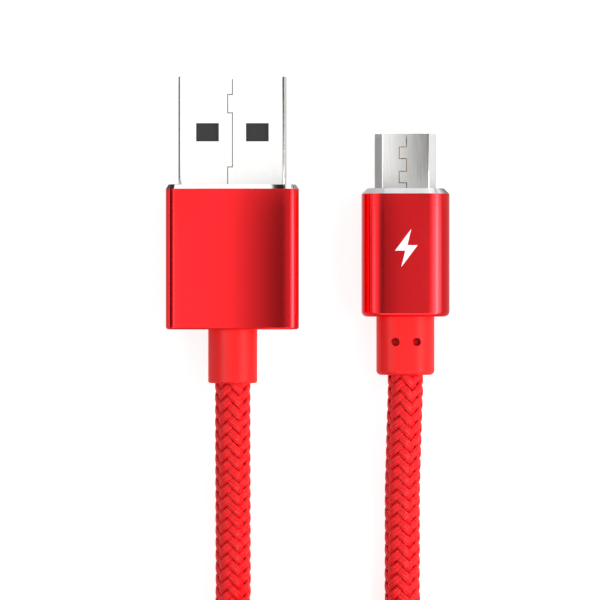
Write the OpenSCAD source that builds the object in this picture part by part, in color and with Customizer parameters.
// Braided charging cable: a full-size plug at one end, a micro plug at the other,
// and about one metre of cord between them, folded into a tied hank.
// Both plugs lie flat on the surface z = 0 and point along +Y.

/* [USB-A plug] */
// Width of the plug shell
a_shell_w = 12.0; // [11.9:0.05:12.1]
// Thickness of the plug shell
a_shell_t = 4.5; // [4.4:0.05:4.6]
// Length of shell standing out of the housing
a_shell_out = 12.0; // [11.75:0.05:12.5]
// Width of the aluminium housing
a_body_w = 14.8; // [14.6:0.1:16]
// Thickness of the aluminium housing over its crown
a_body_t = 7.8; // [7.6:0.1:8.4]
// Length of the aluminium housing
a_body_l = 16.1; // [15.5:0.1:20]
// Diameter of the strain relief
a_relief_d = 5.7; // [5:0.1:6.2]
// Length of the strain relief behind the housing
a_relief_l = 6.0; // [4:0.5:12]

/* [Micro plug] */
// Width of the plug shell at its wide face
m_shell_w = 6.85; // [6.8:0.05:6.9]
// Thickness of the plug shell
m_shell_t = 1.85; // [1.8:0.05:1.9]
// Length of shell standing out of the housing
m_shell_out = 6.15; // [6.05:0.05:6.8]
// Width of the aluminium housing
m_body_w = 9.8; // [9.6:0.1:11]
// Thickness of the aluminium housing
m_body_t = 6.8; // [6.8:0.1:8]
// Length of the aluminium housing
m_body_l = 14.3; // [14:0.1:18]
// Width of the oval strain relief
m_relief_w = 6.5; // [6:0.1:7]
// Thickness of the oval strain relief
m_relief_t = 5.0; // [4.8:0.1:5.2]
// Length of the strain relief behind the housing
m_relief_l = 6.5; // [5:0.5:12]

/* [Cord] */
// Diameter over the braid
cord_d = 4.0; // [3.8:0.1:4.0]
// Straight length of the hank's two legs
leg_l = 30.6; // [24:0.1:40]
// Width of the hook-and-loop tie
tie_w = 10; // [6:1:14]
// Thickness of the hook-and-loop tie
tie_t = 0.8; // [0.5:0.1:1.2]

/* [Hidden] */
$fn = 48;
eps = 0.01;

pins = ["vbus", "dminus", "dplus", "ground"];
pin_colours = ["#c01818", "#e8e8e4", "#1d8a3a", "#181818"];
beam_names = ["vbus", "dminus", "dplus", "id", "ground"];

// ---- places: each plug is drawn from the middle of its housing's front face ----
a_length = a_shell_out + a_body_l + a_relief_l;
a_at = [-8.4, a_length / 2 - a_shell_out, a_body_t / 2];
m_at = [10.9, 4.65, m_body_t / 2];

// ---- colours ----
red_metal = "#d4141c";
red_rubber = "#e62226";
steel = "#d0d2d6";
gold = "#d8b04a";
black = "#202022";
natural = "#e9e4d4";

// ---- outlines, as points in X and Z ----
function arc(c, r, a0, a1, n) =
    [for (i = [0 : n]) let (a = a0 + (a1 - a0) * i / n) [c[0] + r * cos(a), c[1] + r * sin(a)]];

// Rectangle with round corners
function rounded(w, t, r, n = 8) = concat(
    arc([w / 2 - r, t / 2 - r], r, 0, 90, n), arc([r - w / 2, t / 2 - r], r, 90, 180, n),
    arc([r - w / 2, r - t / 2], r, 180, 270, n), arc([w / 2 - r, r - t / 2], r, 270, 360, n));

// The same with both broad faces crowned to a large radius, as a pillow is
function tail_of(list) = [for (i = [1 : len(list) - 1]) list[i]];
function pillow(w, t, r, crown, n = 5, m = 8) =
    let (phi = asin((w / 2 - r) / (crown - r)),
         zc = t / 2 - crown + (crown - r) * cos(phi),
         xc = w / 2 - r,
         top = [0, t / 2 - crown], bottom = [0, crown - t / 2])
    concat(
        arc([xc, zc], r, 0, 90 - phi, n), tail_of(arc(top, crown, 90 - phi, 90 + phi, m)),
        tail_of(arc([-xc, zc], r, 90 + phi, 180, n)), arc([-xc, -zc], r, 180, 270 - phi, n),
        tail_of(arc(bottom, crown, 270 - phi, 270 + phi, m)),
        tail_of(arc([xc, -zc], r, 270 + phi, 360, n)));

a_corner_r = 1.2;
a_crown_r = 45;
m_corner_r = 2.15;
wall = 0.8;
end_wall = 1.0;
glue_gap = 0.03;

function a_outline(inset) =
    pillow(a_body_w - 2 * inset, a_body_t - 2 * inset, a_corner_r - min(inset, 0.8), a_crown_r - inset);
function m_outline(inset) =
    rounded(m_body_w - 2 * inset, m_body_t - 2 * inset, m_corner_r - inset);
function m_relief_outline(inset) =
    rounded(m_relief_w - 2 * inset, m_relief_t - 2 * inset, m_relief_t / 2 - 0.05 - inset);

// Wide face down, narrow face up, with the slanting shoulders between them
m_narrow_w = 5.2;
m_shoulder_z = -0.05;
m_shell_break = 0.2;
function m_shell_outline(inset) =
    let (x = m_shell_w / 2 - inset, z = m_shell_t / 2 - inset, nx = m_narrow_w / 2 - 0.4 * inset)
    [[x, -z + m_shell_break], [x, m_shoulder_z], [nx, z], [-nx, z],
     [-x, m_shoulder_z], [-x, -z + m_shell_break], [-x + m_shell_break, -z], [x - m_shell_break, -z]];

// ---- solids ----
// Closed skin over rings of points, all with the same number of points and turning clockwise
// as seen from the first ring towards the last
module skin(rings) {
    n = len(rings[0]);
    last = len(rings) - 1;
    sides = [for (k = [0 : last - 1]) for (i = [0 : n - 1]) let (j = (i + 1) % n)
        each [[k * n + i, k * n + j, (k + 1) * n + j], [k * n + i, (k + 1) * n + j, (k + 1) * n + i]]];
    first_cap = [[for (i = [n - 1 : -1 : 0]) i]];
    last_cap = [[for (i = [0 : n - 1]) last * n + i]];
    polyhedron(points = [for (ring = rings) each ring], faces = concat(sides, first_cap, last_cap));
}

// An outline placed at y
function at_y(outline, y) = [for (p = outline) [p[0], y, p[1]]];

// An outline drawn out from y0 to y1
module bar(outline, y0, y1) {
    translate([0, y1, 0]) rotate([90, 0, 0]) linear_extrude(y1 - y0) polygon(outline);
}

// A box from its lowest corner to its highest
module block(low, high) {
    translate(low) cube(high - low);
}

// A round bar along Y
module round_bar(r, y0, y1) {
    translate([0, y1, 0]) rotate([90, 0, 0]) cylinder(h = y1 - y0, r = r);
}

// Eight-sided ring round one point of a route, square to the route there
function unit(v) = v / norm(v);
function along(route, i) = unit(route[min(i + 1, len(route) - 1)] - route[max(i - 1, 0)]);
function ring(route, i, r) =
    let (t = along(route, i), side = unit(cross(t, [0, 0, 1])), up = cross(side, t))
    [for (k = [0 : 7]) route[i] + r * (cos(45 * k) * side + sin(45 * k) * up)];

// A tube along a route
module tube(route, r) {
    skin([for (i = [0 : len(route) - 1]) ring(route, i, r)]);
}

// A slot that follows the folded seam of a shell from its tip: it changes between two lines at
// each of the distances from the tip
module seam(lines_x, from_tip, tip, back, z0, z1) {
    half = seam_slot / 2;
    ends = concat([tip + 1], [for (d = from_tip) tip - d], [back - 1]);
    for (i = [0 : len(ends) - 2])
        block([lines_x[i % 2] - half, ends[i + 1] - half, z0], [lines_x[i % 2] + half, ends[i] + half, z1]);
    for (i = [1 : len(from_tip)])
        block([min(lines_x) - half, ends[i] - half, z0], [max(lines_x) + half, ends[i] + half, z1]);
}

// A block centred on the plug's axis
module inner_block(w, t, y0, y1) {
    block([-w / 2, y0, -t / 2], [w / 2, y1, t / 2]);
}

// ---------------------------------------------------------------- USB-A plug
a_sheet = 0.3;
a_shell_in = 6.75;
a_cavity_w = a_shell_w - 2 * a_sheet;
a_cavity_t = a_shell_t - 2 * a_sheet;
a_front_break = 0.5;
a_front_inset = 0.3;
a_contact_x = [-3.5, -1.0, 1.0, 3.5];
a_contact_w = 1.0;
a_contact_z = [-0.1, 0.2];
a_contact_back = -8.0;
a_mouth_floor = a_shell_out - 11.75;
a_shield_w = 10.4;
a_shield_t = 4.4;
a_shield_back = -10.3;
a_barrel_back = -12.6;
a_mould_back = -13.2;
a_mould_w = 12.4;
a_mould_t = 4.9;
a_mould_front = -2.5;
a_seam_x = [0, -0.52];
a_seam_from_tip = [2.0, 4.05, 10.05, 15.0];
window_x = 2.77;
window_from_tip = 6.2;
window_w = 2.5;
window_l = 2.0;
seam_slot = 0.06;
jacket_r = 1.5;
barrel_r = 1.75;
shield_sheet = 0.25;

// Turned and anodised aluminium sleeve, closed behind except for the strain relief
module usb_a_housing() {
    color(red_metal) difference() {
        skin([at_y(a_outline(0.15), -a_body_l), at_y(a_outline(0), 0.15 - a_body_l),
              at_y(a_outline(0), -a_front_break), at_y(a_outline(a_front_inset), 0)]);
        bar(a_outline(wall), end_wall - a_body_l, 1);
        round_bar(a_relief_d / 2, -a_body_l - 1, end_wall - a_body_l + eps);
    }
}

// Soft overmould: it fills the sleeve and runs on behind it as the strain relief
module usb_a_overmould() {
    back = -a_body_l - a_relief_l;
    edge = 0.2;
    color(red_rubber) difference() {
        union() {
            bar(a_outline(wall + glue_gap), end_wall - a_body_l, -0.3);
            round_bar(a_relief_d / 2, back + edge, end_wall - a_body_l + eps);
            translate([0, back + edge, 0]) rotate([90, 0, 0])
                cylinder(h = edge, r1 = a_relief_d / 2, r2 = a_relief_d / 2 - edge);
        }
        bar(rounded(a_shell_w, a_shell_t, 0.5), -3, 1);
        inner_block(a_mould_w, a_mould_t, a_mould_back, a_mould_front);
        round_bar(cord_d / 2, back - 1, a_mould_back + eps);
    }
}

// Stiff inner mould that locks the shell, the solder joints and the crimped cord together
module usb_a_inner_mould() {
    color(natural) difference() {
        inner_block(a_mould_w, a_mould_t, a_mould_back, a_mould_front);
        bar(rounded(a_shell_w, a_shell_t, 0.5), -a_shell_in - 0.05, 0);
        inner_block(a_shield_w, a_shield_t, a_shield_back - shield_sheet, -a_shell_in);
        round_bar(barrel_r, a_barrel_back, a_shield_back);
        round_bar(cord_d / 2, a_mould_back - 1, a_barrel_back);
    }
}

// Folded steel shell with its stepped seam on top and two square windows in each face
module usb_a_shell() {
    tip = a_shell_out;
    window_y = tip - window_from_tip;
    color(steel) difference() {
        bar(rounded(a_shell_w, a_shell_t, 0.5), -a_shell_in, tip);
        bar(rounded(a_cavity_w, a_cavity_t, 0.25), -a_shell_in - 1, tip + 1);
        for (x = [-window_x, window_x])
            block([x - window_w / 2, window_y - window_l / 2, -a_shell_t],
                  [x + window_w / 2, window_y + window_l / 2, a_shell_t]);
        seam(a_seam_x, a_seam_from_tip, tip, -a_shell_in, a_cavity_t / 2 - 0.1, a_shell_t);
    }
}

// The room that a contact takes, also cut from the insulator
module a_contact_room(i) {
    front = a_shell_out - (i == 0 || i == 3 ? 1.4 : 2.4);
    block([a_contact_x[i] - a_contact_w / 2, a_contact_back, a_contact_z[0]],
          [a_contact_x[i] + a_contact_w / 2, front, a_contact_z[1]]);
}

// Black contact carrier: a block that closes the shell behind, and the tongue in its upper half
module usb_a_insulator() {
    color(black) difference() {
        union() {
            bar(rounded(a_cavity_w - 0.04, a_cavity_t - 0.04, 0.3), -6.5, a_mouth_floor);
            block([0.3 - a_cavity_w / 2, 0, 0],
                  [a_cavity_w / 2 - 0.3, a_shell_out - 0.3, a_cavity_t / 2 - 0.02]);
        }
        for (i = [0 : 3]) a_contact_room(i);
    }
}

module usb_a_contact(i) {
    color(gold) a_contact_room(i);
}

// Rear half of the shielding, with the barrel that is crimped on the cord
module usb_a_rear_shield() {
    front = -a_shell_in - 0.05;
    color(steel) difference() {
        union() {
            inner_block(a_shield_w, a_shield_t, a_shield_back - shield_sheet, front);
            round_bar(barrel_r, a_barrel_back, a_shield_back);
        }
        inner_block(a_shield_w - 2 * shield_sheet, a_shield_t - 2 * shield_sheet, a_shield_back, front + 1);
        round_bar(jacket_r, a_barrel_back - 1, a_shield_back + 1);
    }
}

// The end of the cord inside the plug: braid on in the strain relief, stripped in the barrel
module cord_tail(braid_back, barrel_back, barrel_front) {
    color(red_rubber) {
        round_bar(cord_d / 2, braid_back, barrel_back);
        round_bar(jacket_r, barrel_back - eps, barrel_front);
    }
}

module usb_a_cord_tail() {
    cord_tail(-a_body_l - a_relief_l, a_barrel_back, a_shield_back);
}

wire_x = [-0.55, -0.55, 0.55, 0.55];
wire_z = [0.55, -0.55, -0.55, 0.55];

// A wire runs straight out of the jacket, then across to lie under its contact
module usb_a_wire(i) {
    r = 0.4;
    under = a_contact_z[0] - r - 0.02;
    color(pin_colours[i])
        tube([[wire_x[i], a_shield_back, wire_z[i]], [wire_x[i], a_shield_back + 0.5, wire_z[i]],
              [a_contact_x[i], -8.2, under], [a_contact_x[i], -7.0, under]], r);
}

// ---------------------------------------------------------------- micro plug
m_sheet = 0.25;
m_shell_in = 4.5;
m_floor = m_shell_t / 2 - m_sheet;
m_mouth_floor = 1.0;
m_block_back = -4.2;
m_shelf_w = 4.2;
m_shelf_top = -0.1;
beam_pitch = 0.65;
beam_w = 0.4;
beam_z = [-0.2, -0.05];
beam_root = m_mouth_floor + 0.03;
beam_tip = m_mouth_floor + 4.1;
m_tail_back = -5.2;
latch_mid_x = 2.45;
latch_half_w = 0.2;
latch_z = [-0.6, -0.35];
latch_root = -1.5;
latch_base_back = -3.4;
latch_nose = 3.7;
m_shield_w = 5.8;
m_shield_t = 3.0;
m_shield_sheet = 0.2;
m_shield_back = -7.0;
m_barrel_back = -9.2;
m_mould_back = -9.8;
m_mould_w = 7.2;
m_mould_t = 4.2;
m_mould_front = -2.0;
m_seam_x = [0, -0.8];
m_seam_from_tip = [1.5, 2.8, 4.2, 5.5];
m_break = 0.6;

module micro_housing() {
    rear = -m_body_l;
    color(red_metal) difference() {
        skin([at_y(m_outline(m_break), rear),
              at_y(m_outline(0.3 * m_break), rear + 0.3 * m_break),
              at_y(m_outline(0), rear + m_break), at_y(m_outline(0), -m_break),
              at_y(m_outline(m_break), 0)]);
        bar(m_outline(wall), rear + end_wall, 1);
        bar(m_relief_outline(0), rear - 1, rear + end_wall + eps);
    }
}

// Soft overmould: oval strain relief with two core-pin marks in each face
module micro_overmould() {
    back = -m_body_l - m_relief_l;
    edge = 0.5;
    mark_x = 1.18;
    mark_y = -m_body_l - 2.8;
    mark_deep = 0.6;
    color(red_rubber) difference() {
        union() {
            bar(m_outline(wall + glue_gap), end_wall - m_body_l, -0.3);
            skin([at_y(m_relief_outline(edge), back), at_y(m_relief_outline(0.3 * edge), back + 0.3 * edge),
                  at_y(m_relief_outline(0), back + edge), at_y(m_relief_outline(0), end_wall - m_body_l + 0.5)]);
        }
        bar(m_shell_outline(0), -3, 1);
        inner_block(m_mould_w, m_mould_t, m_mould_back, m_mould_front);
        round_bar(cord_d / 2, back - 1, m_mould_back + eps);
        for (x = [-mark_x, mark_x], side = [-1, 1])
            translate([x, mark_y, side * (m_relief_t / 2 + 1 - mark_deep)])
                cylinder(h = 2, r = 0.45, center = true);
    }
}

module micro_inner_mould() {
    color(natural) difference() {
        inner_block(m_mould_w, m_mould_t, m_mould_back, m_mould_front);
        bar(m_shell_outline(0), -m_shell_in - 0.1, 0);
        inner_block(m_shield_w, m_shield_t, m_shield_back - m_shield_sheet, -m_shell_in);
        round_bar(barrel_r, m_barrel_back, m_shield_back);
        round_bar(cord_d / 2, m_mould_back - 1, m_barrel_back);
    }
}

// A block at one of the two latch arms, from its half width and its ends along Y and Z
module latch_room(side, half_w, y, z) {
    block([side * latch_mid_x - half_w, y[0], z[0]], [side * latch_mid_x + half_w, y[1], z[1]]);
}

// A block at one of the five contacts, in the same way
module beam_room(i, half_w, y, z) {
    x = (i - 2) * beam_pitch;
    block([x - half_w, y[0], z[0]], [x + half_w, y[1], z[1]]);
}

// Folded steel shell: seam in the narrow face on top, latch windows in the wide face below
module micro_shell() {
    tip = m_shell_out;
    color(steel) difference() {
        bar(m_shell_outline(0), -m_shell_in, tip);
        bar(m_shell_outline(m_sheet), -m_shell_in - 1, tip + 1);
        for (side = [-1, 1])
            latch_room(side, latch_half_w + 0.1, [latch_nose - 0.9, latch_nose + 0.2], [-m_shell_t, -0.5]);
        seam(m_seam_x, m_seam_from_tip, tip, -m_shell_in, m_floor - 0.1, m_shell_t);
    }
}

// Contact carrier: a block in the back of the shell, and the grooved shelf on its wide side
module micro_insulator() {
    latch_outer = latch_mid_x + latch_half_w;
    color(black) difference() {
        union() {
            intersection() {
                bar(m_shell_outline(m_sheet + 0.02), m_block_back, m_mouth_floor);
                block([-4, m_block_back, -1], [4, m_mouth_floor, 1]);
            }
            block([-m_shelf_w / 2, m_mouth_floor - eps, 0.02 - m_floor],
                  [m_shelf_w / 2, m_shell_out - 0.4, m_shelf_top]);
        }
        for (i = [0 : 4]) {
            beam_room(i, beam_w / 2, [m_block_back - 1, m_mouth_floor + eps], beam_z);
            beam_room(i, beam_w / 2 + 0.05, [m_mouth_floor, beam_tip + 0.15], [-0.45, 0]);
        }
        for (side = [-1, 1]) latch_room(side, latch_half_w + 0.1, [latch_root - 0.05, 2], [-1, 0.05]);
        block([-latch_outer - 0.1, latch_base_back - 0.1, -1],
              [latch_outer + 0.1, latch_root, latch_z[1] + 0.02]);
    }
}

// Solder tails of the five contacts, held in the carrier
module micro_contact_tails() {
    color(gold) for (i = [0 : 4]) beam_room(i, beam_w / 2, [m_tail_back, m_mouth_floor], beam_z);
}

// Springing front of one contact, with its round contact point
module micro_contact_beam(i) {
    color(gold) {
        beam_room(i, beam_w / 2, [beam_root, beam_tip], beam_z);
        translate([(i - 2) * beam_pitch, beam_tip - 0.5, beam_z[1]]) rotate([0, 90, 0])
            cylinder(h = beam_w, r = 0.13, center = true);
    }
}

// Cross strip that joins the two latch arms in the carrier
module micro_latch_base() {
    outer = latch_mid_x + latch_half_w;
    color(steel) block([-outer, latch_base_back, latch_z[0]], [outer, latch_root - 0.05, latch_z[1]]);
}

// Springing latch arm, with the hook that stands through the shell's window
module micro_latch(side) {
    hook_z = -1.25;
    hook = [[latch_nose - 0.7, latch_z[1]], [latch_nose, latch_z[1]], [latch_nose, latch_z[0]],
            [latch_nose - 0.55, hook_z], [latch_nose - 0.7, hook_z]];
    color(steel) {
        latch_room(side, latch_half_w, [latch_root, latch_nose - 0.3], latch_z);
        translate([side * latch_mid_x - latch_half_w, 0, 0]) rotate([90, 0, 90])
            linear_extrude(2 * latch_half_w) polygon(hook);
    }
}

module micro_rear_shield() {
    front = -m_shell_in - 0.1;
    color(steel) difference() {
        union() {
            inner_block(m_shield_w, m_shield_t, m_shield_back - m_shield_sheet, front);
            round_bar(barrel_r, m_barrel_back, m_shield_back);
        }
        inner_block(m_shield_w - 2 * m_shield_sheet, m_shield_t - 2 * m_shield_sheet, m_shield_back, front + 1);
        round_bar(jacket_r, m_barrel_back - 1, m_shield_back + 1);
    }
}

module micro_cord_tail() {
    cord_tail(-m_body_l - m_relief_l, m_barrel_back, m_shield_back);
}

m_wire_contact = [0, 1, 2, 4];
m_wire_side = [1, -1, 1, -1];

// The wires meet their contacts by turns above and below, because the contacts stand so close
module micro_wire(i) {
    r = 0.3;
    x = (m_wire_contact[i] - 2) * beam_pitch;
    z = m_wire_side[i] > 0 ? beam_z[1] + r + 0.02 : beam_z[0] - r - 0.02;
    start_z = m_wire_side[i] * 0.55;
    color(pin_colours[i])
        tube([[i < 2 ? -0.6 : 0.6, m_shield_back, start_z], [x, -5.4, z], [x, -4.7, z]], r);
}

// ---------------------------------------------------------------- cord
hank_x = 1.2;
hank_top = -60.5;
hank_bottom = hank_top - leg_l;
leg_mid_r = 14;
hank_h = 3 * cord_d + tie_t;
hank_out_r = leg_mid_r + cord_d;
hank_in_r = leg_mid_r - cord_d;
turn_over = 1.5;
a_exit_y = a_at[1] - a_body_l - a_relief_l;
m_exit_y = m_at[1] - m_body_l - m_relief_l;
tie_y = (hank_top + hank_bottom) / 2;

// Routes from each strain relief to the hank, laid on the surface
usb_a_route = [
    [-8.4, a_exit_y, 3.9], [-8.4, -19, 3.9], [-8.4, -22, 3.7], [-8.4, -25, 3.3], [-8.4, -29, 2.6],
    [-8.4, -33, 2.1], [-8.4, -37, 2.0], [-8.4, -41, 2.0], [-8.7, -44, 2.0], [-9.7, -47, 2.0],
    [-11.4, -50, 2.0], [-13.5, -53, 2.0], [-14.5, -56, 2.0], [-14.8, -59, 2.0], [-14.8, hank_top, 2.0]];
micro_route = [
    [10.9, m_exit_y, 3.4], [10.9, -18, 3.4], [10.8, -21, 3.2], [10.7, -25, 2.8], [10.6, -29, 2.3],
    [10.6, -33, 2.0], [10.6, -37, 2.0], [10.6, -41, 2.0], [10.9, -44, 2.0], [11.9, -47, 2.0],
    [13.7, -50, 2.0], [15.9, -53, 2.0], [16.9, -56, 2.0], [17.2, -59, 2.0], [17.2, hank_top, 2.0]];

module cord_run(route) {
    color(red_rubber) tube(route, cord_d / 2);
}

// Outline of a band of the hank, with its own radius at the top end
module hank_band(top_r) {
    difference() {
        union() {
            translate([-hank_out_r, hank_bottom]) square([2 * hank_out_r, leg_l]);
            translate([0, hank_top]) circle(r = top_r);
            translate([0, hank_bottom - turn_over]) circle(r = hank_out_r);
            translate([-hank_out_r, hank_bottom - turn_over]) square([2 * hank_out_r, turn_over + eps]);
        }
        translate([-hank_in_r, hank_bottom + turn_over]) square([2 * hank_in_r, leg_l - turn_over]);
        translate([0, hank_top]) circle(r = hank_in_r);
        translate([0, hank_bottom + turn_over]) circle(r = hank_in_r);
    }
}

// Six passes of cord up and down: the lowest outer place of the top bend is left to the two runs
module cord_hank() {
    run_top = cord_d + 0.1;
    color(red_rubber) difference() {
        translate([hank_x, 0, 0]) {
            linear_extrude(run_top) hank_band(hank_out_r - cord_d - 0.2);
            translate([0, 0, run_top - eps]) linear_extrude(hank_h - run_top + eps) hank_band(hank_out_r);
        }
        block([hank_x - 30, tie_y - tie_w / 2, -1], [hank_x + 30, tie_y + tie_w / 2, tie_t]);
    }
}

// Hook-and-loop strap round both legs of the hank, its end lapped on top
module cord_tie() {
    y0 = tie_y - tie_w / 2;
    y1 = tie_y + tie_w / 2;
    out = hank_out_r + tie_t;
    top = hank_h + tie_t;
    color(black) translate([hank_x, 0, 0]) {
        difference() {
            translate([0, 0, top / 2]) bar(rounded(2 * out, top, 0.75, 4), y0, y1);
            block([-hank_out_r, y0 - 1, tie_t], [hank_out_r, y1 + 1, hank_h]);
        }
        block([-2, y0, top - eps], [out - 3, y1, top + tie_t]);
    }
}

// ---------------------------------------------------------------- assembly
module in_a() { translate(a_at) children(); }
module in_m() { translate(m_at) children(); }

in_a() usb_a_housing();
in_a() usb_a_overmould();
in_a() usb_a_inner_mould();
in_a() usb_a_shell();
in_a() usb_a_insulator();
in_a() usb_a_rear_shield();
in_a() usb_a_cord_tail();
for (i = [0 : 3]) {
    in_a() usb_a_contact(i);
    in_a() usb_a_wire(i);
    in_m() micro_wire(i);
}
in_m() micro_housing();
in_m() micro_overmould();
in_m() micro_inner_mould();
in_m() micro_shell();
in_m() micro_insulator();
in_m() micro_rear_shield();
in_m() micro_cord_tail();
in_m() micro_contact_tails();
in_m() micro_latch_base();
in_m() micro_latch(-1);  // micro_latch_left
in_m() micro_latch(1);  // micro_latch_right
for (i = [0 : 4])
    in_m() micro_contact_beam(i);
cord_run(usb_a_route);  // cord_usb_a_run
cord_run(micro_route);  // cord_micro_run
cord_hank();
cord_tie();
